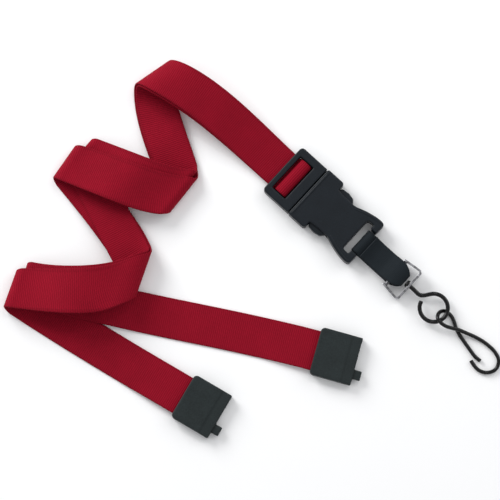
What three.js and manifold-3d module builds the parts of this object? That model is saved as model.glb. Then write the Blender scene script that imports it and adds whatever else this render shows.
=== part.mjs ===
// A neck lanyard laid out on a table: folded webbing, a release buckle, a swivel hook and two breakaway halves.
// Millimetres, +Z up. The origin is on the table, under the middle of the laid-out lanyard.
import * as THREE from 'three';
import { mergeVertices } from 'three/addons/utils/BufferGeometryUtils.js';
import Module from 'manifold-3d';

const wasm = await Module();
wasm.setup();

// ---------------------------------------------------------------- driving dimensions

const LAY_SHIFT = [0.12, 0.74];
const STRAP = { width: 19, thick: 0.9 };

// The release buckle lies along its own x axis, from the neck strap's side at 0 to the key end.
const BUCKLE = { at: [14.3, 36.8], turn: -42.6 };
const PLUG = {
  length: 16, halfWidth: 13.8, height: 6.2, cornerR: 1.8,
  windowStart: 2.6, windowEnd: 10.8, windowHalf: 9.9,
  barX: 6.6, barZ: 3.4, barR: 1.7, gateHigh: 3.1,
  tongueEnd: 34, tongueHalf: 2, tongueLow: 1.9, tongueHigh: 5.1,
};
const PRONG = { root: 16.4, inner: 7.6, outer: 10.4, bulge: 12.4, shoulder: 27, tip: 36, low: 1.6, high: 5.4 };
const RECEIVER = {
  mouth: 16.4, shoulder: 26.6, end: 53.4, height: 7, mouthHalf: 14.1,
  cavityHalf: 11.5, cavityEnd: 37.2, cavityLow: 1.2, cavityHigh: 5.8,
  slotStart: 46.3, slotHalf: 9, slotEnd: 49.4,
  barX: 51.9, barZ: 3.5, barR: 1.3, barHalf: 6.8,
};
const SHORT_WEB = { width: 12.4, thick: 0.9, wrapR: 1.95, y: -0.2, taperFrom: 71, taperLong: 8.2 };
// The bracket and the swivel hang on one line that starts at the bracket's pin and dips slightly.
const HANGER = { at: [72.5, -0.5, 3.6], dip: 0.8, roll: 8 };
const BRACKET = { pinR: 0.9, thick: 1, depth: 3.4, topHalf: 6.9, footHalf: 8, back: -1.2, foot: 8.2, hole: 1.4 };
const SWIVEL = { wireR: 1, headStart: 6.5, headR: 1.9, headLong: 1.3, stemEnd: 15, ringX: 24, ringR: 6.6 };
const HOOK = { at: [103.1, -0.5, 3.18], wireR: 0.9 };
const TABLE_GAP = 0.04;
const BREAKAWAY = {
  length: 20, halfWidth: 11.45, height: 5, cornerR: 2, seam: 0.3,
  pocketLong: 11, pocketHalf: 9.8, pocketHigh: 1.5, strapIn: 10, noseLong: 5, noseDrop: 0.4,
  tabY: -6, tabHalf: 2.25, tabLong: 3.6, tabBack: 3, tabHigh: 2.6, fit: 0.3,
};
const END_A = { at: [29.6, -48.9], turn: -15.6 };
const END_B = { at: [-32.2, -69.9], turn: -30.4 };

// The neck strap is one webbing laid double. It comes round the plug's bar, zigzags through five folds
// and parts towards the two breakaway halves. A fold is half a roll of webbing: `at` is the middle of
// its outer side, `axis` the direction of the roll, `heading` the way the strap comes in, `reach` how
// far the roll stands out, and it takes the strap from height `from` to height `to`.
const OUTER_FOLDS = [
  { at: [-46.9, 81.9], axis: -145, heading: -209.5, reach: 10, from: 13, to: 0.5 },
  { at: [-32.4, 24.3], axis: -128.3, heading: -71.3, reach: 3.5, from: 0.5, to: 6.75 },
  { at: [-88.1, 39.9], axis: -124.5, heading: -200, reach: 3.5, from: 6.75, to: 0.5 },
  { at: [-50.8, -13.2], axis: -108.9, heading: -58, reach: 9, from: 3.1, to: 12 },
  { at: [-112.8, -20], axis: -109.1, heading: -185, reach: 3.5, from: 7, to: 0.5 },
];
const INNER_FOLDS = [
  { at: [-46.2, 80.9], axis: -145, heading: -209.5, reach: 8.7, from: 11.7, to: 1.8 },
  { at: [-32.6, 27.7], axis: -128.3, heading: -71.5, reach: 2.2, from: 1.8, to: 5.45 },
  { at: [-81.1, 43.7], axis: -131, heading: -202.5, reach: 2.2, from: 5.45, to: 1.8 },
  { at: [-52, -12.7], axis: -108.9, heading: -59, reach: 7.7, from: 4.4, to: 10.7 },
  { at: [-107.2, -16.2], axis: -106.5, heading: -195, reach: 2.2, from: 5.7, to: 1.8 },
];
// Heights on the way to the ends, as [part of the way, height]: the upper half crosses the lower one
// before it comes down to the table, and both rise into the breakaway halves.
const END_HEIGHT = 2.5;
const OUTER_DROP = [[0.62, 0.5], [1, END_HEIGHT]];
const INNER_DROP = [[0.3, 1.8], [0.46, 0.5], [0.8, 0.5], [1, END_HEIGHT]];
const FOLD_STEPS = 10;
const ARC_STEPS = 40;
const RUN_STEPS = 12;

// ---------------------------------------------------------------- helpers

const rad = (degrees) => degrees * Math.PI / 180;
const unit = (degrees) => new THREE.Vector2(Math.cos(rad(degrees)), Math.sin(rad(degrees)));
const leftOf = (v) => new THREE.Vector2(-v.y, v.x);
const smooth = (t) => t * t * (3 - 2 * t);

function finish(geometry) {
  geometry.deleteAttribute('normal');
  geometry.deleteAttribute('uv');
  return mergeVertices(geometry, 1e-4);
}

function toSolid(geometry) {
  const merged = finish(geometry);
  return new wasm.Manifold(new wasm.Mesh({
    numProp: 3,
    vertProperties: new Float32Array(merged.attributes.position.array),
    triVerts: new Uint32Array(merged.index.array),
  }));
}

function toGeometry(solid) {
  const mesh = solid.getMesh();
  const geometry = new THREE.BufferGeometry();
  geometry.setAttribute('position', new THREE.BufferAttribute(new Float32Array(mesh.vertProperties), 3));
  geometry.setIndex(new THREE.BufferAttribute(new Uint32Array(mesh.triVerts), 1));
  return geometry;
}

// An upright slab with the given outline between two heights.
function slab(outline, low, high) {
  const geometry = new THREE.ExtrudeGeometry(outline, { depth: high - low, bevelEnabled: false, curveSegments: 4 });
  return toSolid(geometry.translate(0, 0, low));
}

function outlineOf(points) {
  return new THREE.Shape(points.map(([x, y]) => new THREE.Vector2(x, y)));
}

// A rectangle from x0 to x1 and y0 to y1, its corners rounded by r0 at the x0 end and r1 at the x1 end.
function rectangle(x0, x1, y0, y1, r0 = 0, r1 = 0) {
  const shape = new THREE.Shape();
  shape.moveTo(x0 + r0, y0);
  shape.lineTo(x1 - r1, y0);
  if (r1 > 0) shape.absarc(x1 - r1, y0 + r1, r1, -Math.PI / 2, 0, false);
  shape.lineTo(x1, y1 - r1);
  if (r1 > 0) shape.absarc(x1 - r1, y1 - r1, r1, 0, Math.PI / 2, false);
  shape.lineTo(x0 + r0, y1);
  if (r0 > 0) shape.absarc(x0 + r0, y1 - r0, r0, Math.PI / 2, Math.PI, false);
  shape.lineTo(x0, y0 + r0);
  if (r0 > 0) shape.absarc(x0 + r0, y0 + r0, r0, Math.PI, 1.5 * Math.PI, false);
  return shape;
}

const box = (x0, x1, y0, y1, z0, z1) => slab(rectangle(x0, x1, y0, y1), z0, z1);

// A round rod along y through [x, z].
function crossRod(radius, half, x, z, sides = 16) {
  return toSolid(new THREE.CylinderGeometry(radius, radius, 2 * half, sides).translate(x, 0, z));
}

// A round rod along x.
function longRod(radius, x0, x1, sides = 16) {
  const geometry = new THREE.CylinderGeometry(radius, radius, x1 - x0, sides);
  return toSolid(geometry.rotateZ(Math.PI / 2).translate((x0 + x1) / 2, 0, 0));
}

// Round wire along a smooth curve through the given points.
function wire(points, radius, steps, sides = 10) {
  const path = new THREE.CatmullRomCurve3(points.map((p) => new THREE.Vector3(...p)), false, 'centripetal');
  const section = new THREE.Shape();
  for (let i = 0; i < sides; i += 1) {
    const angle = 2 * Math.PI * i / sides;
    const x = radius * Math.cos(angle);
    const y = radius * Math.sin(angle);
    if (i === 0) section.moveTo(x, y);
    else section.lineTo(x, y);
  }
  return new THREE.ExtrudeGeometry(section, { steps, bevelEnabled: false, extrudePath: path });
}

// Webbing of constant width and thickness. Each station has a centre and a side vector across the web.
function webbing(stations, width, thick) {
  const count = stations.length;
  const positions = [];
  stations.forEach((station, i) => {
    const before = stations[Math.max(i - 1, 0)].centre;
    const after = stations[Math.min(i + 1, count - 1)].centre;
    const along = after.clone().sub(before);
    const lift = along.cross(station.side).normalize().multiplyScalar(thick / 2);
    const across = station.side.clone().multiplyScalar(width / 2);
    for (const [s, n] of [[1, 1], [-1, 1], [-1, -1], [1, -1]]) {
      const corner = station.centre.clone().addScaledVector(across, s).addScaledVector(lift, n);
      positions.push(corner.x, corner.y, corner.z);
    }
  });
  const index = [];
  for (let i = 0; i + 1 < count; i += 1) {
    for (let k = 0; k < 4; k += 1) {
      const a = 4 * i + k;
      const b = 4 * i + (k + 1) % 4;
      index.push(a, b, a + 4, b, b + 4, a + 4);
    }
  }
  const last = 4 * (count - 1);
  index.push(0, 2, 1, 0, 3, 2, last, last + 1, last + 2, last, last + 2, last + 3);
  const geometry = new THREE.BufferGeometry();
  geometry.setAttribute('position', new THREE.Float32BufferAttribute(positions, 3));
  geometry.setIndex(index);
  return geometry;
}

// ---------------------------------------------------------------- the neck strap's way

const station = (xy, z, side) => ({
  centre: new THREE.Vector3(xy.x, xy.y, z),
  side: new THREE.Vector3(side.x, side.y, 0),
});

// Half a roll of webbing: its profile is a half ellipse, and the web slides along the roll as it turns,
// so that it leaves at the mirrored heading.
function foldStations(fold) {
  const axis = unit(fold.axis);
  const heading = unit(fold.heading);
  const along = heading.dot(axis);
  const outward = heading.clone().addScaledVector(axis, -along);
  const across = outward.length();
  outward.divideScalar(across);
  const rise = (fold.to - fold.from) / 2;
  const middle = (fold.to + fold.from) / 2;
  const fine = ARC_STEPS * FOLD_STEPS;
  const arc = [0];
  for (let i = 1; i <= fine; i += 1) {
    const phi = Math.PI * (i - 0.5) / fine - Math.PI / 2;
    const speed = Math.hypot(fold.reach * Math.sin(phi), rise * Math.cos(phi));
    arc.push(arc[i - 1] + speed * Math.PI / fine);
  }
  const side = axis.clone().divideScalar(across);
  const stations = [];
  for (let i = 0; i <= FOLD_STEPS; i += 1) {
    const phi = Math.PI * i / FOLD_STEPS - Math.PI / 2;
    const slide = (arc[ARC_STEPS * i] - arc[fine / 2]) * along / across;
    const xy = new THREE.Vector2(...fold.at)
      .addScaledVector(outward, fold.reach * (Math.cos(phi) - 1))
      .addScaledVector(axis, slide);
    stations.push(station(xy, middle + rise * Math.sin(phi), side));
  }
  return stations;
}

// A free run of webbing between two stations, with its heights at given parts of the way.
function runStations(start, end, headingIn, headingOut, heights) {
  const chord = end.centre.clone().sub(start.centre);
  const length = Math.hypot(chord.x, chord.y);
  const p0 = new THREE.Vector2(start.centre.x, start.centre.y);
  const p1 = new THREE.Vector2(end.centre.x, end.centre.y);
  const m0 = unit(headingIn).multiplyScalar(length);
  const m1 = unit(headingOut).multiplyScalar(length);
  const keys = [[0, start.centre.z], ...heights];
  const stations = [];
  for (let i = 1; i < RUN_STEPS; i += 1) {
    const t = i / RUN_STEPS;
    const xy = p0.clone().multiplyScalar(2 * t ** 3 - 3 * t ** 2 + 1)
      .addScaledVector(m0, t ** 3 - 2 * t ** 2 + t)
      .addScaledVector(p1, 3 * t ** 2 - 2 * t ** 3)
      .addScaledVector(m1, t ** 3 - t ** 2);
    const k = keys.findIndex(([at]) => at > t);
    const [t0, z0] = keys[k - 1];
    const [t1, z1] = keys[k];
    const z = z0 + (z1 - z0) * smooth((t - t0) / (t1 - t0));
    const side = start.side.clone().lerp(end.side, t);
    stations.push(station(xy, z, side));
  }
  return stations;
}

// The whole way of one half: round the bar, out of the plug, through the folds and into its end.
function strapWay(wrap, folds, end, drop) {
  const buckleAxis = unit(BUCKLE.turn);
  const origin = new THREE.Vector2(...BUCKLE.at);
  const stations = wrap.map(([x, z]) => station(
    origin.clone().addScaledVector(buckleAxis, x), z, leftOf(buckleAxis).negate(),
  ));
  let heading = BUCKLE.turn - 180;
  for (const fold of folds) {
    const turned = foldStations(fold);
    const left = leftOf(unit(fold.heading));
    const hand = Math.sign(turned[0].side.x * left.x + turned[0].side.y * left.y);
    const last = stations[stations.length - 1];
    const lastLeft = leftOf(unit(heading));
    const was = Math.sign(last.side.x * lastLeft.x + last.side.y * lastLeft.y);
    turned.forEach((s) => s.side.multiplyScalar(hand * was));
    stations.push(...runStations(last, turned[0], heading, fold.heading, [[1, turned[0].centre.z]]));
    stations.push(...turned);
    heading = 2 * fold.axis - fold.heading;
  }
  const last = stations[stations.length - 1];
  const lastLeft = leftOf(unit(heading));
  const was = Math.sign(last.side.x * lastLeft.x + last.side.y * lastLeft.y);
  const way = unit(end.turn);
  const endSide = leftOf(way).multiplyScalar(was);
  const door = station(new THREE.Vector2(...end.at), END_HEIGHT, endSide);
  stations.push(...runStations(last, door, heading, end.turn, drop), door);
  const inside = new THREE.Vector2(...end.at).addScaledVector(way, BREAKAWAY.strapIn);
  stations.push(station(inside, END_HEIGHT, endSide));
  return stations;
}

// Points round a bar from one angle to another, seen from the side.
function roundBar(x, z, radius, from, to, steps) {
  const points = [];
  for (let i = 0; i <= steps; i += 1) {
    const angle = rad(from + (to - from) * i / steps);
    points.push([x + radius * Math.cos(angle), z + radius * Math.sin(angle)]);
  }
  return points;
}

const wrapR = PLUG.barR + 0.1 + STRAP.thick / 2;
const outerWrap = [
  ...roundBar(PLUG.barX, PLUG.barZ, wrapR, -80, 150, 10),
  ...roundBar(2.59, 2.75, 0.9, -30, -90, 3),
  [0, 1.85],
];
const innerWrap = [[6.3, 1.15], [5, 0.95], [3.8, 0.62], [2.6, 0.55], [0, 0.55]];

// ---------------------------------------------------------------- the buckle

function plug() {
  let body = slab(rectangle(0, PLUG.length, -PLUG.halfWidth, PLUG.halfWidth, PLUG.cornerR), 0, PLUG.height);
  body = body.subtract(box(PLUG.windowStart, PLUG.windowEnd, -PLUG.windowHalf, PLUG.windowHalf, -1, 9));
  body = body.subtract(box(-1, PLUG.windowStart + 1, -PLUG.windowHalf, PLUG.windowHalf, -1, PLUG.gateHigh));
  body = body.add(crossRod(PLUG.barR, PLUG.windowHalf + 0.5, PLUG.barX, PLUG.barZ));
  const { tongueEnd, tongueHalf, tongueLow, tongueHigh } = PLUG;
  const tongue = slab(rectangle(PLUG.length - 1, tongueEnd, -tongueHalf, tongueHalf, 0, 1.5), tongueLow, tongueHigh);
  return toGeometry(body.add(tongue));
}

// A springy arm with a pad that bulges out of the receiver's side window; hand is 1 or -1.
function prong(hand) {
  const arm = outlineOf([
    [PRONG.root, PRONG.inner], [30, PRONG.inner + 0.6], [PRONG.tip, PRONG.inner + 1.2],
    [PRONG.tip, 9.8], [34.4, 11.7], [31, PRONG.bulge], [27.6, 11.9], [PRONG.shoulder, 11.3],
    [PRONG.shoulder, 10.6], [PRONG.root, PRONG.outer],
  ].map(([x, y]) => [x, hand * y]));
  return toGeometry(slab(arm, PRONG.low, PRONG.high));
}

function receiver() {
  const half = [
    [RECEIVER.mouth, RECEIVER.mouthHalf - 0.6], [RECEIVER.mouth + 0.6, RECEIVER.mouthHalf],
    [RECEIVER.shoulder - 0.8, RECEIVER.mouthHalf], [RECEIVER.shoulder, RECEIVER.mouthHalf - 0.8],
    [RECEIVER.shoulder, 10], [31, 9.7], [36.6, 9.6], [38.4, 9.9], [40.3, 10.6], [43, 11.5],
    [46.4, 12.3], [49, 12.7], [51.2, 12.8], [52.6, 12.6], [RECEIVER.end, 11.9],
  ];
  const mirrored = half.map(([x, y]) => [x, -y]).reverse();
  let body = slab(outlineOf([...mirrored, ...half]), 0, RECEIVER.height);
  const { cavityHalf, cavityEnd, cavityLow, cavityHigh, slotHalf, slotStart, slotEnd, barHalf } = RECEIVER;
  body = body.subtract(box(RECEIVER.mouth - 1, cavityEnd, -cavityHalf, cavityHalf, cavityLow, cavityHigh));
  body = body.subtract(slab(rectangle(slotStart, slotEnd + 0.6, -slotHalf, slotHalf, 1.5), -1, 9));
  body = body.subtract(box(slotEnd, RECEIVER.end + 1, -barHalf, barHalf, -1, 9));
  body = body.add(crossRod(RECEIVER.barR, barHalf + 0.5, RECEIVER.barX, RECEIVER.barZ));
  return toGeometry(body);
}

// The short webbing is laid threefold. It starts with its cut end on top, turns inside the bracket, runs
// back underneath, round the receiver's bar from below, and ends between its other two layers. Its turn
// narrows to a round tongue.
function shortWeb() {
  const way = [
    [54.9, 5.55], [57, 4.35], [59.3, 3.7], [61.5, 3.6], [64, 3.6], [66.3, 3.85], [69, 5.1], [71.3, 6.1],
    [73.8, 6.4], [76.2, 5.8], [77.7, 4.6], [77.9, 3.2], [77, 1.9], [75.2, 1.15], [72.8, 0.95], [69, 0.95],
    [63, 1], [57, 1], [54.4, 1.3],
    ...roundBar(RECEIVER.barX, RECEIVER.barZ, SHORT_WEB.wrapR, -90, -300, 12),
    [54.9, 4.02], [56.8, 2.95], [58.8, 2.4], [61, 2.3], [63.5, 2.3], [65.5, 2.3],
  ];
  const stations = way.map(([x, z]) => {
    const taper = Math.max(0, x - SHORT_WEB.taperFrom) / SHORT_WEB.taperLong;
    const side = new THREE.Vector2(0, Math.sqrt(1 - taper ** 2));
    return station(new THREE.Vector2(x, SHORT_WEB.y), z, side);
  });
  return webbing(stations, SHORT_WEB.width, SHORT_WEB.thick);
}

// ---------------------------------------------------------------- the swivel hook

function bracket() {
  const { topHalf, footHalf, back, foot, thick, depth } = BRACKET;
  const outer = outlineOf([
    [back, -topHalf - thick], [back, topHalf + thick], [foot - 0.4, footHalf + thick],
    [foot + thick, footHalf - 0.2], [foot + thick, -footHalf + 0.2], [foot - 0.4, -footHalf - thick],
  ].reverse());
  const inner = outlineOf([
    [back - 1, -topHalf], [back - 1, topHalf], [back, topHalf], [foot - 0.6, footHalf],
    [foot, footHalf - 0.6], [foot, -footHalf + 0.6], [foot - 0.6, -footHalf], [back, -topHalf],
  ].reverse());
  let body = slab(outer, -depth / 2, depth / 2).subtract(slab(inner, -depth, depth));
  body = body.subtract(longRod(BRACKET.hole, foot - 1, foot + thick + 1));
  body = body.add(crossRod(BRACKET.pinR, topHalf + 0.5, 0, 0, 12));
  return toGeometry(body);
}

// A rivet head, a stem through the bracket's foot, and an open ring bent from the same wire.
function swivel() {
  const { wireR, headStart, headR, headLong, stemEnd, ringX, ringR } = SWIVEL;
  const points = [[headStart + 0.5, 0, 0], [stemEnd - 4, 0, 0], [stemEnd, 0, 0], [16.6, 1.1, 0]];
  for (let degrees = 146; degrees >= -166; degrees -= 12) {
    const turn = unit(degrees);
    points.push([ringX + ringR * turn.x, ringR * turn.y, 0]);
  }
  const head = longRod(headR, headStart, headStart + headLong, 14);
  return toGeometry(toSolid(wire(points, wireR, 64)).add(head));
}

// One wire: the nose, the outer leg, the eye round the ring, and the stub that the gate leg goes on from.
function hookFrame() {
  const low = HOOK.wireR + TABLE_GAP - HOOK.at[2];
  const points = [
    [22.7, -6.3, low], [25.6, -7.1, low], [29, -7.1, low], [32.4, -5.1, low], [34, -1.4, low], [32.4, 2.4, low],
    [28.4, 4.2, low], [23, 4.4, low], [17.8, 3.5, low + 0.1], [12.6, 1.7, low + 1], [8.8, 0.2, low + 2.2],
    [5.6, -1.6, 0.6], [3.2, -2.8, 1.8], [0.7, -3.2, 2.4], [-1.9, -2.6, 1.9], [-3.2, 0, 0],
    [-1.9, 2.6, -1.9], [0.7, 3.1, low], [3.2, 2.6, low], [5.4, 1.5, low],
  ];
  return toGeometry(toSolid(wire(points, HOOK.wireR, 84)));
}

function hookGate() {
  const low = HOOK.wireR + TABLE_GAP - HOOK.at[2];
  const points = [
    [5.8, 1.25, low], [7.6, 0.2, low], [10.5, -0.9, low], [14.5, -1.9, low],
    [19, -2.9, low], [22.6, -3.6, low], [26.2, -3.5, low],
  ];
  return toGeometry(toSolid(wire(points, HOOK.wireR, 24)));
}

// ---------------------------------------------------------------- the breakaway halves

const { length: endLength, halfWidth: endHalf, height: endHeight, seam } = BREAKAWAY;
const tabBox = (grow) => box(
  endLength - BREAKAWAY.tabBack - grow, endLength + BREAKAWAY.tabLong + grow,
  BREAKAWAY.tabY - BREAKAWAY.tabHalf - grow, BREAKAWAY.tabY + BREAKAWAY.tabHalf + grow,
  (endHeight - BREAKAWAY.tabHigh) / 2 - grow, (endHeight + BREAKAWAY.tabHigh) / 2 + grow,
);

// Common to base and cover: the outline, less the strap's pocket and the socket for the other half's tab.
function breakawayShell(low, high) {
  let body = slab(rectangle(0, endLength, -endHalf, endHalf, BREAKAWAY.cornerR), low, high);
  const pocketLow = (endHeight - BREAKAWAY.pocketHigh) / 2;
  const { pocketLong, pocketHalf, pocketHigh } = BREAKAWAY;
  body = body.subtract(box(-1, pocketLong, -pocketHalf, pocketHalf, pocketLow, pocketLow + pocketHigh));
  const turnedTab = tabBox(BREAKAWAY.fit).rotate([0, 0, 180]).translate([2 * endLength, 0, 0]);
  return body.subtract(turnedTab);
}

function breakawayBase() {
  return toGeometry(breakawayShell(0, (endHeight - seam) / 2).add(tabBox(0)));
}

function breakawayCover() {
  let body = breakawayShell((endHeight + seam) / 2, endHeight).subtract(tabBox(BREAKAWAY.fit));
  const top = endHeight - BREAKAWAY.noseDrop;
  body = body.subtract(box(endLength - BREAKAWAY.noseLong, endLength + 1, -20, 20, top, endHeight + 1));
  return toGeometry(body);
}

// ---------------------------------------------------------------- colours and assembly

const look = (color, roughness, metalness = 0) => new THREE.MeshStandardMaterial({ color, roughness, metalness });
const redWeb = look('#9b1a2e', 0.75);
const blackWeb = look('#1d2023', 0.8);
const blackPlastic = look('#22272b', 0.4);
const endPlastic = look('#2f3638', 0.5);
const brightSteel = look('#c9c9c6', 0.3, 1);
const darkSteel = look('#2b2b2a', 0.35, 0.9);

const lanyard = new THREE.Group();
lanyard.position.set(LAY_SHIFT[0], LAY_SHIFT[1], 0);

function addTo(parent, name, geometry, material) {
  const mesh = new THREE.Mesh(geometry, material);
  mesh.name = name;
  parent.add(mesh);
}

const outerWay = strapWay(outerWrap, OUTER_FOLDS, END_B, OUTER_DROP);
const innerWay = strapWay(innerWrap, INNER_FOLDS, END_A, INNER_DROP);
addTo(lanyard, 'strap_outer', webbing(outerWay, STRAP.width, STRAP.thick), redWeb);
addTo(lanyard, 'strap_inner', webbing(innerWay, STRAP.width, STRAP.thick), redWeb);

const buckle = new THREE.Group();
buckle.position.set(BUCKLE.at[0], BUCKLE.at[1], 0);
buckle.rotation.z = rad(BUCKLE.turn);
lanyard.add(buckle);
addTo(buckle, 'buckle_plug', plug(), blackPlastic);
addTo(buckle, 'prong_left', prong(1), blackPlastic);
addTo(buckle, 'prong_right', prong(-1), blackPlastic);
addTo(buckle, 'buckle_receiver', receiver(), blackPlastic);
addTo(buckle, 'short_web', shortWeb(), blackWeb);

const hanger = new THREE.Group();
hanger.position.set(...HANGER.at);
hanger.rotation.set(0, rad(HANGER.dip), 0);
buckle.add(hanger);
const bracketTurn = new THREE.Group();
bracketTurn.rotation.x = rad(HANGER.roll);
hanger.add(bracketTurn);
addTo(bracketTurn, 'bracket', bracket(), brightSteel);
addTo(hanger, 'swivel_ring', swivel(), darkSteel);

const hook = new THREE.Group();
hook.position.set(...HOOK.at);
buckle.add(hook);
addTo(hook, 'hook_frame', hookFrame(), darkSteel);
addTo(hook, 'hook_gate', hookGate(), darkSteel);

for (const [name, end] of [['end_a', END_A], ['end_b', END_B]]) {
  const place = new THREE.Group();
  place.position.set(end.at[0], end.at[1], 0);
  place.rotation.z = rad(end.turn);
  lanyard.add(place);
  addTo(place, `${name}_base`, breakawayBase(), endPlastic);
  addTo(place, `${name}_cover`, breakawayCover(), endPlastic);
}

export default lanyard;
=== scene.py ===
"""A red neck lanyard on a pale table: folded webbing, release buckle, swivel hook and breakaway ends."""

import math

import bpy
import numpy as np
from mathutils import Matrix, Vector


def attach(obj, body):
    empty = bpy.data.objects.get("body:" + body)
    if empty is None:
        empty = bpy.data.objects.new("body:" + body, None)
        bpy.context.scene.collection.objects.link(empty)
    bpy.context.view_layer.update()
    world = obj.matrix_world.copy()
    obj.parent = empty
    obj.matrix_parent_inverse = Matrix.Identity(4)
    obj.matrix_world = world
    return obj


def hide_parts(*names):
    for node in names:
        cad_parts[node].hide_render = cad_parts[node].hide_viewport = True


bl_info = {
    "name": "Lanyard",
    "version": (1, 0, 0),
    "blender": (4, 5, 0),
    "location": "View3D > Sidebar > Lanyard",
    "description": "Builds a folded webbing lanyard around its packed frame",
    "category": "Add Mesh",
}

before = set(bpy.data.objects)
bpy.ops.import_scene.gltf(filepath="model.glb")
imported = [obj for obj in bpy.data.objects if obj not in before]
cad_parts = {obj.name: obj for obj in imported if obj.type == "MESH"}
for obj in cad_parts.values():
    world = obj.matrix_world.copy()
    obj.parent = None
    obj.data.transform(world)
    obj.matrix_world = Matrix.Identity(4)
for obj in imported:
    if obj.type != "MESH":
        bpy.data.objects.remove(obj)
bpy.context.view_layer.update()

MM = 0.001
LAY_SHIFT = np.array([0.12, 0.74])
BUCKLE_AT = np.array([14.3, 36.8])
BUCKLE_TURN = -42.6
END_A = {"at": (29.6, -48.9), "turn": -15.6}
END_B = {"at": (-32.2, -69.9), "turn": -30.4}
END_HEIGHT = 2.5
STRAP_IN = 10

# The strap's folds, as in the part: middle of the outer side, roll direction, heading in, reach, heights.
OUTER_FOLDS = [
    ((-46.9, 81.9), -145, -209.5, 10, 13, 0.5),
    ((-32.4, 24.3), -128.3, -71.3, 3.5, 0.5, 6.75),
    ((-88.1, 39.9), -124.5, -200, 3.5, 6.75, 0.5),
    ((-50.8, -13.2), -108.9, -58, 9, 3.1, 12),
    ((-112.8, -20), -109.1, -185, 3.5, 7, 0.5),
]
INNER_FOLDS = [
    ((-46.2, 80.9), -145, -209.5, 8.7, 11.7, 1.8),
    ((-32.6, 27.7), -128.3, -71.5, 2.2, 1.8, 5.45),
    ((-81.1, 43.7), -131, -202.5, 2.2, 5.45, 1.8),
    ((-52, -12.7), -108.9, -59, 7.7, 4.4, 10.7),
    ((-107.2, -16.2), -106.5, -195, 2.2, 5.7, 1.8),
]
OUTER_DROP = [(0.62, 0.5), (1, END_HEIGHT)]
INNER_DROP = [(0.3, 1.8), (0.46, 0.5), (0.8, 0.5), (1, END_HEIGHT)]
# How far the webbing stands up in the middle of each run between folds.
RUN_BOWS = (0, 1.2, 4.6, 0.8, 4.2, 0)

FOLD_NARROWING = 0.07
FOLD_POINTS = 25
ARC_SAMPLES = 721
RUN_STEP = 0.9
RUN_LEAST_POINTS = 12

# In the buckle's own frame, in mm: the middle of the strap's roll round the plug's bar, and the middle of
# the receiver's end bar, as (x, z). The roll is an ellipse, wider along x by its widening.
ROLL_AT = (6.75, 3.5)
ROLL_R = 2.3
ROLL_WIDENING = 1.28
END_BAR = (51.9, 3.5)
END_BAR_WRAP_R = 1.95
BUCKLE_TOP = 7
BUCKLE_CELL = 0.26
# Where the neck strap leaves the plug, as (x, z): the upper half's last bend, with its radius, and tail,
# and the lower half.
OUTER_BEND = (2.59, 2.75, 0.9)
OUTER_TAIL = [[1.7, 1.85], [0.8, 1.85], [0, 1.85]]
INNER_WRAP = [[6.3, 1.15], [5, 0.95], [3.8, 0.62], [2.6, 0.55], [1.3, 0.55], [0, 0.55]]
# The shelf beside the roll in the plug's window, a guessed dark wall that is painted shade so that the gap
# there reads shaded; the bead along the receiver's mouth; and the beads that flare towards its strap slot.
SHADE_SHELF = {"x": (9.5, 11), "half": 9.95, "low": 0.3, "thick": 0.9, "lean": 0.6}
LIP = {"x": 17.75, "half": 13.2, "height": 0.28, "base": 0.55, "points": 40}
BEAD = {"x": 37.8, "long": 14.6, "y": 8.6, "flare": 3.4, "height": 0.22, "base": 0.4, "points": 30}
BEAD_SECTION_POINTS = 7
BEAD_FOOT = 0.9
BEAD_SUNK = 0.4

# Points across the flat of the webbing's section and round its selvedge.
FLAT_POINTS = 13
SELVEDGE_POINTS = 7

# The short strap's side view in the buckle's frame, as (x, z): out to the bracket and back under itself,
# and, once round the end bar, the inner layer.
SHORT_STRAP_OUT = [
    (54.9, 5.55), (57, 4.35), (59.3, 3.7), (61.5, 3.6), (64, 3.6), (66.3, 3.85), (69, 5.1), (71.3, 6.1),
    (73.8, 6.4), (76.2, 5.8), (77.7, 4.6), (77.9, 3.2), (77, 1.9), (75.2, 1.15), (72.8, 0.95), (69, 0.95),
    (63, 1), (57, 1), (54.4, 1.3),
]
SHORT_STRAP_IN = [(54.9, 4.02), (56.8, 2.95), (58.8, 2.4), (61, 2.3), (63.5, 2.3), (65.5, 2.3)]
SHORT_STRAP_Y = -0.2
SHORT_STRAP_THICK = 0.9 * MM
SHORT_STRAP_STEP = 0.4
TAPER_FROM = 71
TAPER_LONG = 8.2
TAPER_LEAST = 0.05

# The swivel's line starts at the bracket's pin and dips by some degrees.
HANGER = {"at": (72.5, -0.5, 3.6), "dip": 0.8}
SWIVEL = {"head": 6.5, "stem": ((6.9, 0), (11, 0), (15, 0), (16.6, 1.1)), "ring_x": 24, "ring_r": 6.6}
# The rivet's outline, as distances along its line and radii about it.
RIVET_X = (0, 0, 0.15, 0.45, 0.85, 1.15, 1.3, 1.3)
RIVET_R = (0.02, 1.0, 1.45, 1.75, 1.9, 1.9, 1.75, 0.02)
RIVET_SIDES = 24
BRACKET_CELL = 0.13
BRACKET_EDGE = 0.225
END_CELL = 0.24
WIRE_SIDES = 20
WIRE_STEP = 0.35
WIRE_SOFT_SHARE = 0.25

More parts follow.
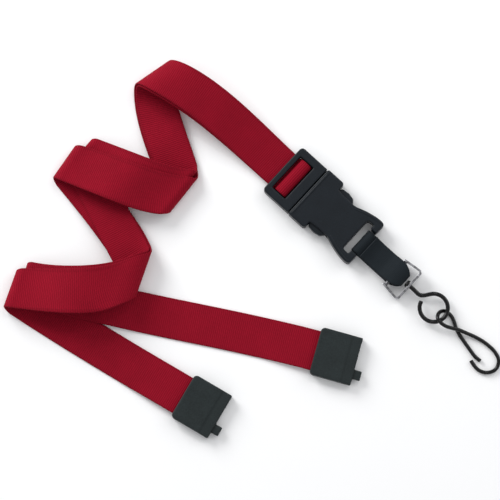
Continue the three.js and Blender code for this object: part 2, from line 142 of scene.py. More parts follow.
# Points that the hook's wire follows, as in the part. The leg starts 0.3 mm inside the frame's end, so
# that the two meet without a gap.
HOOK_AT = (103.1, -0.5, 3.18)
LOW = 0.94 - HOOK_AT[2]
HOOK_POINTS = [
    (22.7, -6.3, LOW), (25.6, -7.1, LOW), (29, -7.1, LOW), (32.4, -5.1, LOW), (34, -1.4, LOW),
    (32.4, 2.4, LOW), (28.4, 4.2, LOW), (23, 4.4, LOW), (17.8, 3.5, LOW + 0.1), (12.6, 1.7, LOW + 1),
    (8.8, 0.2, LOW + 2.2), (5.6, -1.6, 0.6), (3.2, -2.8, 1.8), (0.7, -3.2, 2.4), (-1.9, -2.6, 1.9),
    (-3.2, 0, 0), (-1.9, 2.6, -1.9), (0.7, 3.1, LOW), (3.2, 2.6, LOW), (5.4, 1.5, LOW),
]
GATE_POINTS = [
    (5.13, 1.63, LOW), (5.8, 1.25, LOW), (7.6, 0.2, LOW), (10.5, -0.9, LOW), (14.5, -1.9, LOW),
    (19, -2.9, LOW), (22.6, -3.6, LOW), (26.2, -3.5, LOW),
]

# Noise scales of the materials, in cells per metre.
FUZZ, YARN_SWAY, DYE_CLOUD = 2300.0, 420.0, 90.0
MOULD_GRAIN, MOULD_RUB, MOULD_CLOUD = 1700.0, 420.0, 140.0
DRAW_MARKS, REFLECTION_AND_GLOSS_SPOTS, PAPER_TONE = 1900.0, 620.0, 14.0

# The stage, in metres and radians; a lamp is its name, place, width and power.
CAMERA_TILT = math.radians(7)
CAMERA_DISTANCE = 1.3
CAMERA_AIM = Vector((-0.0008, -0.0005, 0))
PICTURE_WIDTH = 0.235
SENSOR_WIDTH = 36
FLOOR_HALF = 4
SKY_COLOUR = (0.97, 0.98, 1, 1)
SKY_STRENGTH = 0.62
LAMPS = (
    ("key", (-0.75, 0.8, 0.6), 0.7, 12.0),
    ("fill", (0.8, 0.5, 0.7), 0.8, 2.2),
    ("strip", (0.25, 0.62, 1.1), 0.16, 0.9),
)
SHARP_ANGLE = math.radians(50)


# ---------------------------------------------------------------- sizes and colours that a user would change


class LanyardWebbing(bpy.types.PropertyGroup):
    """The red neck strap and the short black strap."""

    width: bpy.props.FloatProperty(
        name="Strap width", description="Width of the neck strap", default=19 * MM, unit="LENGTH")
    thick: bpy.props.FloatProperty(
        name="Strap thickness", description="Thickness of the neck strap", default=0.9 * MM, unit="LENGTH")
    rib: bpy.props.FloatProperty(
        name="Rib pitch", description="Distance between the weave's ribs", default=0.92 * MM, unit="LENGTH")
    red: bpy.props.FloatVectorProperty(
        name="Red", description="Dyed yarn of the neck strap", size=3, subtype="COLOR",
        default=(0.262, 0.0042, 0.0165))
    short_width: bpy.props.FloatProperty(
        name="Short strap width", description="Width of the black strap", default=12.4 * MM, unit="LENGTH")
    black: bpy.props.FloatVectorProperty(
        name="Black yarn", description="Yarn of the short strap", size=3, subtype="COLOR",
        default=(0.0145, 0.019, 0.023))


class LanyardFittings(bpy.types.PropertyGroup):
    """The moulded and metal fittings."""

    buckle_edge: bpy.props.FloatProperty(
        name="Buckle edge", description="Edge radius of the buckle", default=0.75 * MM, unit="LENGTH")
    end_edge: bpy.props.FloatProperty(
        name="End edge", description="Edge radius of the breakaway halves", default=1.0 * MM, unit="LENGTH")
    buckle: bpy.props.FloatVectorProperty(
        name="Buckle plastic", description="Blue-black moulded plastic", size=3, subtype="COLOR",
        default=(0.0042, 0.0068, 0.0100))
    end: bpy.props.FloatVectorProperty(
        name="End plastic", description="Charcoal moulded plastic", size=3, subtype="COLOR",
        default=(0.0115, 0.0165, 0.017))
    wire_r: bpy.props.FloatProperty(
        name="Swivel wire radius", description="Radius of the swivel's wire", default=1 * MM, unit="LENGTH")
    hook_r: bpy.props.FloatProperty(
        name="Hook wire radius", description="Radius of the hook's wire", default=0.9 * MM, unit="LENGTH")


# ---------------------------------------------------------------- shader helpers


class Signal:
    """A node's output in a material; arithmetic on it adds Math nodes."""

    def __init__(self, shop, socket):
        self.shop = shop
        self.socket = socket

    def _math(self, operation, *values):
        return self.shop.node("ShaderNodeMath", {"operation": operation}, dict(enumerate(values)))

    def __add__(self, other):
        return self._math("ADD", self, other)

    __radd__ = __add__

    def __sub__(self, other):
        return self._math("SUBTRACT", self, other)

    def __rsub__(self, other):
        return self._math("SUBTRACT", other, self)

    def __mul__(self, other):
        return self._math("MULTIPLY", self, other)

    __rmul__ = __mul__

    def __truediv__(self, other):
        return self._math("DIVIDE", self, other)

    def cos(self):
        return self._math("COSINE", self)

    def floor(self):
        return self._math("FLOOR", self)

    def abs(self):
        return self._math("ABSOLUTE", self)

    def clamp(self):
        return self._math("MINIMUM", self._math("MAXIMUM", self, 0.0), 1.0)


class Shop:
    """Builds one material's node tree around a Principled shader."""

    def __init__(self, name, **fixed):
        self.material = bpy.data.materials.new(name)
        self.material.use_nodes = True
        self.tree = self.material.node_tree
        self.shader = self.tree.nodes["Principled BSDF"]
        for socket, value in fixed.items():
            self.shader.inputs[socket.replace("_", " ")].default_value = value

    def node(self, kind, settings=None, inputs=None, out=0):
        made = self.tree.nodes.new(kind)
        for key, value in (settings or {}).items():
            setattr(made, key, value)
        for key, value in (inputs or {}).items():
            self.put(made.inputs[key], value)
        return Signal(self, made.outputs[out])

    def put(self, socket, value):
        if isinstance(value, Signal):
            self.tree.links.new(value.socket, socket)
        elif isinstance(value, tuple) and len(value) == 3 and socket.type == "RGBA":
            socket.default_value = (*value, 1)
        else:
            socket.default_value = value

    def feed(self, name, value):
        self.put(self.shader.inputs[name], value)

    def mix(self, factor, first, second):
        """A blend of two colours; the Mix node's colour sockets share their names, so they go by number."""
        return self.node("ShaderNodeMix", {"data_type": "RGBA"}, {0: factor, 6: first, 7: second}, out=2)

    def noise(self, scale, detail=2.0):
        place = self.node("ShaderNodeTexCoord", out="Object")
        return self.node("ShaderNodeTexNoise", {}, {"Vector": place, "Scale": scale, "Detail": detail})

    def bump(self, height, distance, strength):
        self.feed("Normal", self.node(
            "ShaderNodeBump", {}, {"Height": height, "Distance": distance, "Strength": strength}))


def scaled(colour, share):
    """The colour with each channel times the share."""
    return tuple(share * c for c in colour)


def webbing_material(name, colour, rib, yarn, half_width, sheen, depth):
    """Ribbed weave on the strap's own UVs in metres: u along, v across. The ribs are a cosine of u; the
    warp yarns are a cosine of v that changes sides at each rib; both dent the surface, and the colour is
    painted shade of that relief: lighter on their crests, darker in the dips between them. Fibre fuzz and
    slow dye clouds vary the tone at random. The selvedge, from 1.1 mm inside the edge, is darker and stands
    up."""
    shop = Shop(name, Sheen_Weight=sheen, Sheen_Roughness=0.45, Specular_IOR_Level=0.07)
    place = shop.node("ShaderNodeUVMap", {"uv_map": "weave"})
    u = shop.node("ShaderNodeSeparateXYZ", {}, {0: place}, out=0)
    v = shop.node("ShaderNodeSeparateXYZ", {}, {0: place}, out=1)
    sway = shop.noise(YARN_SWAY, 2.0)
    turns = u / rib + sway * 0.35
    ribs = (turns * math.tau).cos() * 0.5 + 0.5
    side = (turns + 0.5).floor() * math.pi
    yarns = (v * (math.tau / yarn) + side).cos() * 0.5 + 0.5
    cloud = shop.noise(DYE_CLOUD, 3.0)
    fuzz = shop.noise(FUZZ, 3.0)
    edge = ((v.abs() - (half_width - 1.1 * MM)) / (0.5 * MM)).clamp()
    # Painted shade: the weave is lighter on its ribs' and yarns' crests and darker in their dips; fuzz and
    # dye clouds are random tone, and the selvedge is darker.
    painted_weave_shade_and_tone = (ribs * 0.42 + yarns * 0.28 + fuzz * 0.3) * 0.85 + cloud * 0.25 - edge * 0.12
    shop.feed("Base Color", shop.mix(painted_weave_shade_and_tone.clamp(), scaled(colour, 0.42), scaled(colour, 1.42)))
    shop.feed("Roughness", 0.86 - ribs * 0.1 - fuzz * 0.08)
    shop.bump(ribs * 0.5 + yarns * 0.34 + fuzz * 0.3 + edge * 0.35, depth, 0.8)
    return shop.material


def plastic_material(name, colour, gloss):
    """Moulded plastic: a fine spark-eroded grain, with slow colour and gloss variation."""
    shop = Shop(name, Specular_IOR_Level=0.24)
    grain = shop.noise(MOULD_GRAIN, 3.0)
    cloud = shop.noise(MOULD_CLOUD, 3.0)
    rubbed = shop.noise(MOULD_RUB, 4.0)
    shop.feed("Base Color", shop.mix(cloud * 0.4 + grain * 0.6, scaled(colour, 0.3), scaled(colour, 2.1)))
    shop.feed("Roughness", gloss + cloud * 0.1 + rubbed * 0.1 - 0.1)
    shop.bump(grain * 0.6 + rubbed * 0.4, 0.12 * MM, 0.9)
    return shop.material


def metal_material(name, colour, rough, speckle, coat):
    """Plated or blackened steel: fine draw marks and speckles in both colour and gloss. The dark speckles in
    the colour are painted reflection, standing in for patchy surroundings mirrored in the steel.
    """
    shop = Shop(name, Metallic=1.0, Coat_Weight=coat, Coat_Roughness=0.1)
    fine = shop.noise(DRAW_MARKS, 3.0)
    spots = shop.noise(REFLECTION_AND_GLOSS_SPOTS, 4.0)
    mask = ((spots - 0.5) * 5.0 + 0.5).clamp()
    # Painted reflection: the speckles darken the steel's colour in place of the patchy surroundings it would
    # mirror; they also make it rougher.
    shop.feed("Base Color", shop.mix(mask * speckle, colour, scaled(colour, 0.16)))
    shop.feed("Roughness", rough + mask * (0.5 * speckle) + fine * 0.12 - 0.06)
    shop.bump(fine * 0.5 + spots * 0.5, 0.02 * MM, 0.6)
    return shop.material


# ---------------------------------------------------------------- geometry helpers


def unit(degrees):
    """The plan direction at an angle from +X: (cos a, sin a)."""
    return np.array([math.cos(math.radians(degrees)), math.sin(math.radians(degrees))])


def left_of(v):
    """The plan vector turned a quarter turn to the left: (-y, x)."""
    return np.array([-v[1], v[0]])


def to_row(points, at, turn):
    """From a frame in mm that stands at a place with a turn about Z, to the row frame, in metres."""
    points = np.asarray(points, float)
    x_axis = unit(turn)
    flat = np.array(at) + LAY_SHIFT + points[..., :1] * x_axis + points[..., 1:2] * left_of(x_axis)
    return np.concatenate([flat, points[..., 2:]], axis=-1) * MM


def from_row(points, at, turn):
    """The way back from to_row."""
    x_axis = unit(turn)
    flat = points[:, :2] / MM - np.array(at) - LAY_SHIFT
    return np.column_stack([flat @ x_axis, flat @ left_of(x_axis), points[:, 2] / MM])


def buckle_to_row(points):
    """From the buckle's own frame, in mm, to the row frame."""
    return to_row(points, BUCKLE_AT, BUCKLE_TURN)


def hanger_to_row(points):
    """From the swivel's line, which starts at the bracket's pin and dips, to the row frame."""
    dip = math.radians(HANGER["dip"])
    points = np.asarray(points, float)
    x = points[..., 0] * math.cos(dip) + points[..., 2] * math.sin(dip)
    z = points[..., 2] * math.cos(dip) - points[..., 0] * math.sin(dip)
    return buckle_to_row(np.stack([x, points[..., 1], z], axis=-1) + np.array(HANGER["at"]))


def face_outward(mesh):
    """Flips a closed mesh whose signed volume, the sum of p0 . (p1 x p2) over its triangles, is negative."""
    mesh.calc_loop_triangles()
    corners = np.zeros(3 * len(mesh.loop_triangles), int)
    mesh.loop_triangles.foreach_get("vertices", corners)
    flat = np.zeros(3 * len(mesh.vertices), np.float32)
    mesh.vertices.foreach_get("co", flat)
    p = flat.reshape(-1, 3)[corners].reshape(-1, 3, 3).astype(float)
    if np.einsum("ij,ij->", p[:, 0], np.cross(p[:, 1], p[:, 2])) < 0:
        mesh.flip_normals()


def make_piece(name, verts, faces, material, body, replaced, smooth=True):
    """A finished piece at the origin that rides on a body and stands in for the replaced CAD nodes."""
    mesh = bpy.data.meshes.new(name)
    mesh.from_pydata(np.asarray(verts).reshape(-1, 3).tolist(), [], faces)
    mesh.validate()
    face_outward(mesh)
    obj = bpy.data.objects.new(name, mesh)
    bpy.context.scene.collection.objects.link(obj)
    mesh.materials.append(material)
    mesh.polygons.foreach_set("use_smooth", [smooth] * len(mesh.polygons))
    if smooth:
        mesh.set_sharp_from_angle(angle=SHARP_ANGLE)
    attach(obj, body)
    if replaced:
        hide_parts(*replaced)
    return obj


def grid_faces(rows, columns):
    """Quads of a grid that closes in its columns; a single n-gon closes each end."""
    i, j = np.meshgrid(np.arange(rows - 1), np.arange(columns), indexing="ij")
    k = (j + 1) % columns
    quads = np.stack([i * columns + j, i * columns + k, (i + 1) * columns + k, (i + 1) * columns + j], -1)
    first = list(range(columns - 1, -1, -1))
    last = list(range((rows - 1) * columns, rows * columns))
    return [*quads.reshape(-1, 4).tolist(), first, last]


def along(line):
    """Arc length from the start of a line of points."""
    return np.concatenate([[0], np.cumsum(np.linalg.norm(np.diff(line, axis=0), axis=1))])


def smooth_line(points, step):
    """Centripetal Catmull-Rom curve through the points: each span is blended from its four nearest points,
    with knots spaced by the square root of their distances."""
    p = np.asarray(points, float)
    p = np.concatenate([[2 * p[0] - p[1]], p, [2 * p[-1] - p[-2]]])
    knots = np.concatenate([[0], np.cumsum(np.linalg.norm(np.diff(p, axis=0), axis=1) ** 0.5)])
    out = []
    for k in range(1, len(p) - 2):
        t0, t1, t2, t3 = knots[k - 1:k + 3]
        count = max(2, int(math.ceil(np.linalg.norm(p[k + 1] - p[k]) / step)))
        t = np.linspace(t1, t2, count, endpoint=False)[:, None]
        a1 = (t1 - t) / (t1 - t0) * p[k - 1] + (t - t0) / (t1 - t0) * p[k]
        a2 = (t2 - t) / (t2 - t1) * p[k] + (t - t1) / (t2 - t1) * p[k + 1]
        a3 = (t3 - t) / (t3 - t2) * p[k + 1] + (t - t2) / (t3 - t2) * p[k + 2]
        b1 = (t2 - t) / (t2 - t0) * a1 + (t - t0) / (t2 - t0) * a2
        b2 = (t3 - t) / (t3 - t1) * a2 + (t - t1) / (t3 - t1) * a3
        out.append((t2 - t) / (t2 - t1) * b1 + (t - t1) / (t2 - t1) * b2)
    return np.concatenate([*out, p[-2:-1]])


def tube(line, radius):
    """A round wire: each ring is centre + r * (across * cos a + up * sin a). At both ends four rings draw
    in to three quarters of the radius along a quarter circle, which rounds the cut edge."""
    tangent = np.gradient(line, axis=0)
    tangent /= np.linalg.norm(tangent, axis=1)[:, None]
    across = np.cross(tangent, [0, 0, 1.0])
    across /= np.linalg.norm(across, axis=1)[:, None]
    up = np.cross(across, tangent)
    quarter = np.radians([0, 30, 60, 90])
    soft = WIRE_SOFT_SHARE * radius
    inset = soft * (1 - np.cos(quarter))
    reach = radius - soft + soft * np.sin(quarter)
    middle = np.arange(1, len(line) - 1)
    index = np.concatenate([[0] * len(quarter), middle, [len(line) - 1] * len(quarter)])
    shift = np.concatenate([inset, 0 * middle, -inset[::-1]])
    radii = np.concatenate([reach, np.full(len(middle), radius), reach[::-1]])
    angle = np.linspace(0, math.tau, WIRE_SIDES, endpoint=False)
    centre = line[index] + tangent[index] * shift[:, None]
    ring = across[index][:, None] * np.cos(angle)[:, None] + up[index][:, None] * np.sin(angle)[:, None]
    return centre[:, None] + ring * radii[:, None, None], grid_faces(len(centre), WIRE_SIDES)


def rim(outline, z, height, base):
    """A low rounded bead on a flat face: a half ellipse of the given height and half width, carried along
    the outline. Its foot is sunk in the face, and it fades out at both ends as the fourth root of a sine."""
    line = np.asarray(outline, float)
    tangent = np.gradient(line, axis=0)
    tangent /= np.linalg.norm(tangent, axis=1)[:, None]
    normal = np.stack([-tangent[:, 1], tangent[:, 0]], axis=-1)
    s = np.linspace(0, math.pi, BEAD_SECTION_POINTS)
    reach = np.concatenate([-np.cos(s), [BEAD_FOOT, -BEAD_FOOT]])
    rise = np.concatenate([np.sin(s) * height, [-BEAD_SUNK, -BEAD_SUNK]])
    fade = np.sin(np.linspace(0, math.pi, len(line))) ** 0.25
    flat = line[:, None] + normal[:, None] * (reach * base)[None, :, None]
    lift = z + rise[None, :] * np.where(rise > 0, fade[:, None], 1)
    verts = np.concatenate([flat, lift[..., None]], axis=-1)
    return verts, grid_faces(len(line), len(reach))


def move_points(mesh, change):
    """Puts a mesh's points where the change, a function of all of them at once, says."""
    flat = np.zeros(3 * len(mesh.vertices), np.float32)
    mesh.vertices.foreach_get("co", flat)
    mesh.vertices.foreach_set("co", change(flat.reshape(-1, 3).astype(float)).astype(np.float32).ravel())
    mesh.update()


def baked(obj):
    """The object's mesh with its modifiers applied."""
    bpy.context.view_layer.update()
    made = bpy.data.meshes.new_from_object(obj.evaluated_get(bpy.context.evaluated_depsgraph_get()))
    obj.modifiers.clear()
    obj.data = made
    return made


def softened_copy(name, node, at, turn, cell, edge, material, body):
    """The CAD node's own shape with rounded edges. It is turned square to the axes, in mm, rebuilt as an
    even mesh of the given cell size, relaxed towards its neighbours' average for (edge / cell) squared
    rounds, which rounds it by about the edge radius, and turned back."""
    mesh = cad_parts[node].data.copy()
    mesh.name = name
    mesh.materials.clear()
    move_points(mesh, lambda points: from_row(points, at, turn))
    obj = bpy.data.objects.new(name, mesh)
    bpy.context.scene.collection.objects.link(obj)
    cells = obj.modifiers.new("cells", "REMESH")
    cells.mode = "VOXEL"
    cells.voxel_size = cell
    cells.use_smooth_shade = True
    relax = obj.modifiers.new("relax", "SMOOTH")
    relax.factor = 0.5
    relax.iterations = round((edge / cell) ** 2)
    done = baked(obj)
    move_points(done, lambda points: to_row(points, at, turn))
    done.name = name
    done.materials.clear()
    done.materials.append(material)
    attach(obj, body)
    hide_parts(node)


# ---------------------------------------------------------------- the neck strap's way


def fold_way(fold):
    """Half a roll of webbing: a half ellipse of the given reach and rise, sliding along the roll's axis by
    arc length times the cotangent of the crossing angle, so that it leaves at the mirrored heading."""
    at, axis, heading, reach, low, high = fold
    a, d = unit(axis), unit(heading)
    share = d @ a
    outward = d - share * a
    across = np.linalg.norm(outward)
    outward /= across
    rise, middle = (high - low) / 2, (high + low) / 2
    fine = np.linspace(-math.pi / 2, math.pi / 2, ARC_SAMPLES)
    speed = np.hypot(reach * np.sin(fine), rise * np.cos(fine))
    arc = np.concatenate([[0], np.cumsum((speed[1:] + speed[:-1]) / 2 * np.diff(fine))])
    phi = np.linspace(-math.pi / 2, math.pi / 2, FOLD_POINTS)
    slide = np.interp(phi, fine, arc - arc[ARC_SAMPLES // 2]) * share / across
    xy = np.array(at) + np.outer(reach * (np.cos(phi) - 1), outward) + np.outer(slide, a)
    centre = np.column_stack([xy, middle + rise * np.sin(phi)])
    side = np.repeat([np.append(a / across, 0)], FOLD_POINTS, axis=0)
    return centre, side, 2 * axis - heading


def run_way(start, end, heading_in, heading_out, heights, bow=0.0):
    """A free run: a cubic in plan with the given headings at its ends, smooth steps between its heights
    plus bow * sin(pi t) squared, and a side vector that turns evenly from one end's to the other's."""
    (c0, s0), (c1, s1) = start, end
    length = np.linalg.norm((c1 - c0)[:2])
    t = np.linspace(0, 1, max(RUN_LEAST_POINTS, int(length / RUN_STEP)))[1:-1, None]
    m0, m1 = unit(heading_in) * length, unit(heading_out) * length
    xy = ((2 * t**3 - 3 * t**2 + 1) * c0[:2] + (t**3 - 2 * t**2 + t) * m0
          + (3 * t**2 - 2 * t**3) * c1[:2] + (t**3 - t**2) * m1)
    z = np.full(len(t), c0[2])
    keys = [(0, c0[2]), *heights]
    for (t0, z0), (t1, z1) in zip(keys, keys[1:]):
        w = np.clip((t[:, 0] - t0) / (t1 - t0), 0, 1)
        z = np.where(t[:, 0] >= t0, z0 + (z1 - z0) * w * w * (3 - 2 * w), z)
    z = z + bow * np.sin(math.pi * t[:, 0]) ** 2
    return np.column_stack([xy, z]), s0 + (s1 - s0) * t


def hand_of(side, heading):
    """+1 where a side vector points to the left of the heading, -1 where it points to the right."""
    return np.sign(side[:2] @ left_of(unit(heading)))


def strap_way(wrap, folds, end, drop):
    """Round the bar, out of the plug, through the folds and into the breakaway half. Returns the centres,
    the side vectors and the share of its width that the webbing keeps at each."""
    axis = unit(BUCKLE_TURN)
    start = np.array([[*(BUCKLE_AT + axis * x), z] for x, z in wrap])
    sides = np.repeat([np.append(-left_of(axis), 0)], len(start), axis=0)
    centres, all_sides, narrow = [start], [sides], [np.ones(len(start))]
    heading = BUCKLE_TURN - 180
    for fold, bow in zip(folds, RUN_BOWS):
        centre, side, heading_out = fold_way(fold)
        side = side * (hand_of(side[0], fold[2]) * hand_of(all_sides[-1][-1], heading))
        last = (centres[-1][-1], all_sides[-1][-1])
        run = run_way(last, (centre[0], side[0]), heading, fold[2], [(1, centre[0][2])], bow)
        centres += [run[0], centre]
        all_sides += [run[1], side]
        turn = np.linspace(-math.pi / 2, math.pi / 2, len(centre))
        narrow += [np.ones(len(run[0])), 1 - FOLD_NARROWING * np.cos(turn) ** 2]
        heading = heading_out
    way = unit(end["turn"])
    side = np.append(left_of(way) * hand_of(all_sides[-1][-1], heading), 0)
    door = np.array([*end["at"], END_HEIGHT])
    run = run_way((centres[-1][-1], all_sides[-1][-1]), (door, side), heading, end["turn"], drop)
    inside = door + np.append(way * STRAP_IN, 0)
    centres += [run[0], [door, inside]]
    all_sides += [run[1], [side, side]]
    narrow += [np.ones(len(run[0]) + 2)]
    centres, all_sides = np.concatenate(centres), np.concatenate(all_sides)
    centres[:, :2] += LAY_SHIFT
    return centres * MM, all_sides, np.concatenate(narrow)


def bar_arc(x, z, radius, start, stop, count, wide=1.0):
    """Side view of webbing round a bar: (x + wide * r cos a, z + r sin a), from one angle to another."""
    angle = np.radians(np.linspace(start, stop, count))
    return np.column_stack([x + wide * radius * np.cos(angle), z + radius * np.sin(angle)]).tolist()


def web_surface(centres, sides, width, thick, taper):
    """Webbing: a flat section with round selvedges, carried along the way. A point is centre + side * a *
    taper + lift * b, where (a, b) runs round the section. Returns the points and the weave's (u, v)."""
    edge = thick / 2
    flat = np.linspace(-(width / 2 - edge), width / 2 - edge, FLAT_POINTS)
    arc = np.radians(np.linspace(90, -90, SELVEDGE_POINTS))[1:-1]
    a = np.concatenate([flat, width / 2 - edge + edge * np.cos(arc), flat[::-1],
                        -(width / 2 - edge) - edge * np.cos(arc)])
    b = np.concatenate([np.full(len(flat), edge), edge * np.sin(arc), np.full(len(flat), -edge),
                        -edge * np.sin(arc)])
    tangent = np.gradient(centres, axis=0)
    tangent /= np.linalg.norm(tangent, axis=1)[:, None]
    lift = np.cross(tangent, sides)
    lift /= np.linalg.norm(lift, axis=1)[:, None]
    offset = a[None, :] * taper[:, None]
    verts = centres[:, None] + sides[:, None] * offset[..., None] + lift[:, None] * b[None, :, None]
    lean = np.einsum("ij,ij->i", tangent, sides)
    u = along(centres)[:, None] + offset * lean[:, None]
    v = offset * np.sqrt(np.maximum(np.einsum("ij,ij->i", sides, sides) - lean**2, 0.01))[:, None]
    return verts, np.stack([u, v], axis=-1)


def web_piece(name, centres, sides, width, thick, material, body, replaced, taper):
    """A piece of webbing with its weave laid on it as UVs in metres."""
    verts, weave = web_surface(centres, sides, width, thick, taper)
    faces = grid_faces(*verts.shape[:2])
    obj = make_piece(name, verts, faces, material, body, replaced)
    layer = obj.data.uv_layers.new(name="weave")
    corner = np.zeros(len(obj.data.loops), int)
    obj.data.loops.foreach_get("vertex_index", corner)
    layer.data.foreach_set("uv", weave.reshape(-1, 2)[corner].astype(np.float32).ravel())
    return obj


# ---------------------------------------------------------------- operators


class LANYARD_OT_stage(bpy.types.Operator):
    """Camera above the table, pale floor and soft studio light"""

    bl_idname = "lanyard.stage"
    bl_label = "Stage"

    def execute(self, context):
        camera = bpy.data.objects.new("camera", bpy.data.cameras.new("camera"))
        camera.data.sensor_width = SENSOR_WIDTH
        camera.data.lens = SENSOR_WIDTH * CAMERA_DISTANCE / PICTURE_WIDTH
        camera.data.clip_end = 10
        back = Vector((0, -math.sin(CAMERA_TILT), math.cos(CAMERA_TILT)))
        camera.location = CAMERA_AIM + CAMERA_DISTANCE * back
        camera.rotation_euler = (CAMERA_TILT, 0, 0)
        context.scene.collection.objects.link(camera)
        context.scene.camera = camera
        context.scene.view_settings.view_transform = "Standard"
        floor_mesh = bpy.data.meshes.new("floor")
        corners = [(x * FLOOR_HALF, y * FLOOR_HALF, 0) for x, y in ((-1, -1), (1, -1), (1, 1), (-1, 1))]
        floor_mesh.from_pydata(corners, [], [(0, 1, 2, 3)])
        floor = bpy.data.objects.new("floor", floor_mesh)
        paper = Shop("paper", Roughness=0.9, Specular_IOR_Level=0.1)
        tone = paper.noise(PAPER_TONE)
        paper.feed("Base Color", paper.mix(tone, (0.97, 0.97, 0.97), (0.985, 0.985, 0.985)))
        floor_mesh.materials.append(paper.material)
        context.scene.collection.objects.link(floor)
        world = bpy.data.worlds.new("studio")
        world.use_nodes = True
        sky = world.node_tree.nodes["Background"].inputs
        sky["Color"].default_value = SKY_COLOUR
        sky["Strength"].default_value = SKY_STRENGTH
        context.scene.world = world
        for name, place, size, power in LAMPS:
            lamp = bpy.data.lights.new(name, "AREA")
            lamp.shape = "DISK"
            lamp.size = size
            lamp.energy = power
            obj = bpy.data.objects.new(name, lamp)
            obj.location = place
            obj.rotation_euler = (-Vector(place)).to_track_quat("-Z", "Y").to_euler()
            context.scene.collection.objects.link(obj)
        return {"FINISHED"}


class LANYARD_OT_neck_strap(bpy.types.Operator):
    """Both halves of the red webbing, folded down the table"""

    bl_idname = "lanyard.neck_strap"
    bl_label = "Neck strap"

    def execute(self, context):
        size = context.scene.lanyard_webbing
        red = webbing_material("red_ribbed_webbing", tuple(size.red), size.rib, 0.62 * MM,
                               size.width / 2, 0.0, 0.25 * MM)
        roll = bar_arc(*ROLL_AT, ROLL_R, -80, 150, 34, ROLL_WIDENING)
        outer = [*roll, *bar_arc(*OUTER_BEND, -30, -90, 7), *OUTER_TAIL]
        inner = smooth_line(INNER_WRAP, 0.5)
        for name, wrap, folds, end, drop in (
                ("strap_outer", outer, OUTER_FOLDS, END_B, OUTER_DROP),
                ("strap_inner", inner, INNER_FOLDS, END_A, INNER_DROP)):
            centres, sides, narrow = strap_way(wrap, folds, end, drop)
            piece = web_piece(f"{name}_web", centres, sides, size.width, size.thick, red,
                              "neck_loop", (name,), narrow)
        return {"FINISHED"}


class LANYARD_OT_buckle(bpy.types.Operator):
    """Plug, prongs and receiver of the release buckle, with their beads"""

    bl_idname = "lanyard.buckle"
    bl_label = "Release buckle"

    def execute(self, context):
        size = context.scene.lanyard_fittings
        plastic = plastic_material("blue_black_plastic", tuple(size.buckle), 0.42)
        for name, node, body in (("plug_body", "buckle_plug", "neck_loop"),
                                 ("left_prong_arm", "prong_left", "left_prong"),
                                 ("right_prong_arm", "prong_right", "right_prong"),
                                 ("receiver_body", "buckle_receiver", "key_end")):
            softened_copy(name, node, BUCKLE_AT, BUCKLE_TURN, BUCKLE_CELL, size.buckle_edge / MM,
                          plastic, body)
        # Painted shade: a guessed dark shelf under the window's gap beside the roll, so that the gap reads
        # shaded.
        (near, far), half, low = SHADE_SHELF["x"], SHADE_SHELF["half"], SHADE_SHELF["low"]
        corner = np.array([(near, -half, low), (far, -half, low), (far, half, low), (near, half, low)])
        shade_shelf = np.concatenate([corner, corner + (0, 0, SHADE_SHELF["thick"])])
        shade_shelf[[4, 7], 0] += SHADE_SHELF["lean"]
        walls = ((k, (k + 1) % 4, (k + 1) % 4 + 4, k + 4) for k in range(4))
        shade_shelf_faces = [(3, 2, 1, 0), (4, 5, 6, 7), *walls]
        make_piece("plug_window_shade_shelf", buckle_to_row(shade_shelf), shade_shelf_faces, plastic, "neck_loop", (),
                   smooth=False)
        y = np.linspace(-LIP["half"], LIP["half"], LIP["points"])
        edge = np.column_stack([np.full(len(y), LIP["x"]), y])
        lip, faces = rim(edge, BUCKLE_TOP, LIP["height"], LIP["base"])
        make_piece("receiver_lip", buckle_to_row(lip), faces, plastic, "key_end", ())
        t = np.linspace(0, 1, BEAD["points"])
        flare_x = BEAD["x"] + BEAD["long"] * t
        flare_y = BEAD["y"] + BEAD["flare"] * np.sin(t * 1.5) ** 1.15
        for name, hand in (("left", 1), ("right", -1)):
            edge = np.column_stack([flare_x, hand * flare_y])[::hand]
            bead, faces = rim(edge, BUCKLE_TOP, BEAD["height"], BEAD["base"])
            make_piece(f"receiver_bead_{name}", buckle_to_row(bead), faces, plastic, "key_end", ())
        return {"FINISHED"}


class LANYARD_OT_short_strap(bpy.types.Operator):
    """The black strap between buckle and hook"""

    bl_idname = "lanyard.short_strap"
    bl_label = "Short strap"

    def execute(self, context):
        size = context.scene.lanyard_webbing
        black = webbing_material("black_ribbed_webbing", tuple(size.black), 0.6 * MM, 0.5 * MM,
                                 size.short_width / 2, 0.08, 0.06 * MM)
        way = [*SHORT_STRAP_OUT, *bar_arc(*END_BAR, END_BAR_WRAP_R, -90, -300, 13), *SHORT_STRAP_IN]
        line = smooth_line([(x, SHORT_STRAP_Y, z) for x, z in way], SHORT_STRAP_STEP)
        shrink = np.maximum(0, line[:, 0] - TAPER_FROM) / TAPER_LONG
        taper = np.sqrt(np.maximum(1 - shrink**2, TAPER_LEAST))
        centres = buckle_to_row(line)
        side = np.append(left_of(unit(BUCKLE_TURN)), 0)
        web_piece("short_strap_web", centres, np.repeat([side], len(centres), axis=0), size.short_width,
                  SHORT_STRAP_THICK, black, "short_loop", ("short_web",), taper)
        return {"FINISHED"}


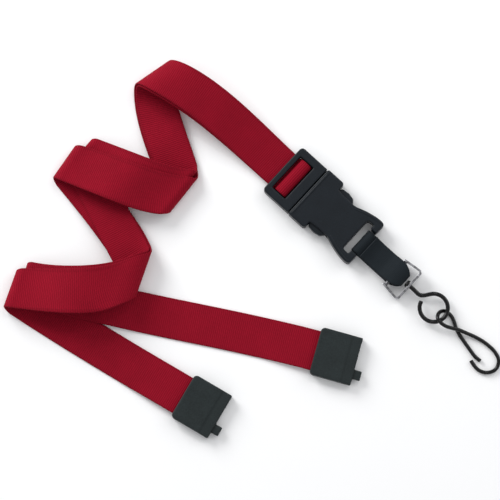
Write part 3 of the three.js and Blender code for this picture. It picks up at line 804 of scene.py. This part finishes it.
class LANYARD_OT_hook(bpy.types.Operator):
    """Bracket, swivel ring and spring hook"""

    bl_idname = "lanyard.hook"
    bl_label = "Swivel hook"

    def execute(self, context):
        size = context.scene.lanyard_fittings
        bright = metal_material("bright_strip_steel", (0.46, 0.46, 0.48), 0.22, 0.75, 0.0)
        dark = metal_material("black_oxide_wire", (0.008, 0.008, 0.0085), 0.22, 0.3, 0.5)
        softened_copy("bracket_strip", "bracket", BUCKLE_AT, BUCKLE_TURN, BRACKET_CELL, BRACKET_EDGE,
                      bright, "hook_bracket")
        stem = [(x, y, 0) for x, y in SWIVEL["stem"]]
        turns = np.arange(146, -167, -12)
        centre = np.array([SWIVEL["ring_x"], 0])
        ring = [(*(centre + SWIVEL["ring_r"] * unit(t)), 0) for t in turns]
        line = smooth_line([*stem, *ring], WIRE_STEP)
        verts, faces = tube(hanger_to_row(line), size.wire_r)
        make_piece("swivel_wire", verts, faces, dark, "swivel", ("swivel_ring",))
        angle = np.linspace(0, math.tau, RIVET_SIDES, endpoint=False)
        x = np.repeat(np.array(RIVET_X)[:, None], RIVET_SIDES, 1) + SWIVEL["head"]
        head = np.stack([x, np.outer(RIVET_R, np.cos(angle)), np.outer(RIVET_R, np.sin(angle))], -1)
        faces = grid_faces(*head.shape[:2])
        make_piece("swivel_rivet", hanger_to_row(head), faces, dark, "swivel", ())
        for name, points, body, node in (("hook_wire", HOOK_POINTS, "hook", "hook_frame"),
                                         ("hook_leg", GATE_POINTS, "gate", "hook_gate")):
            line = smooth_line(np.array(points) + np.array(HOOK_AT), WIRE_STEP)
            verts, faces = tube(buckle_to_row(line), size.hook_r)
            make_piece(name, verts, faces, dark, body, (node,))
        return {"FINISHED"}


class LANYARD_OT_ends(bpy.types.Operator):
    """Base and cover of both breakaway halves"""

    bl_idname = "lanyard.ends"
    bl_label = "Breakaway halves"

    def execute(self, context):
        size = context.scene.lanyard_fittings
        plastic = plastic_material("charcoal_plastic", tuple(size.end), 0.46)
        for which, end in (("a", END_A), ("b", END_B)):
            for part in ("base", "cover"):
                softened_copy(f"end_{which}_{part}_shell", f"end_{which}_{part}", end["at"], end["turn"],
                              END_CELL, size.end_edge / MM, plastic, "neck_loop")
        return {"FINISHED"}


class LANYARD_PT_panel(bpy.types.Panel):
    """Lists the lanyard's operators and sizes"""

    bl_idname = "LANYARD_PT_panel"
    bl_label = "Lanyard"
    bl_space_type = "VIEW_3D"
    bl_region_type = "UI"
    bl_category = "Lanyard"

    def draw(self, context):
        for operator in OPERATORS:
            self.layout.operator(operator.bl_idname)
        for group in (context.scene.lanyard_webbing, context.scene.lanyard_fittings):
            for name in group.__annotations__:
                self.layout.prop(group, name)


GROUPS = (LanyardWebbing, LanyardFittings)
OPERATORS = (
    LANYARD_OT_stage,
    LANYARD_OT_neck_strap,
    LANYARD_OT_buckle,
    LANYARD_OT_short_strap,
    LANYARD_OT_hook,
    LANYARD_OT_ends,
)


def register():
    for made in (*GROUPS, *OPERATORS, LANYARD_PT_panel):
        bpy.utils.register_class(made)
    bpy.types.Scene.lanyard_webbing = bpy.props.PointerProperty(type=LanyardWebbing)
    bpy.types.Scene.lanyard_fittings = bpy.props.PointerProperty(type=LanyardFittings)


def unregister():
    del bpy.types.Scene.lanyard_webbing
    del bpy.types.Scene.lanyard_fittings
    for made in reversed((*GROUPS, *OPERATORS, LANYARD_PT_panel)):
        bpy.utils.unregister_class(made)


def main():
    register()
    for operator in OPERATORS:
        family, name = operator.bl_idname.split(".")
        getattr(getattr(bpy.ops, family), name)()


if __name__ == "__main__":
    main()
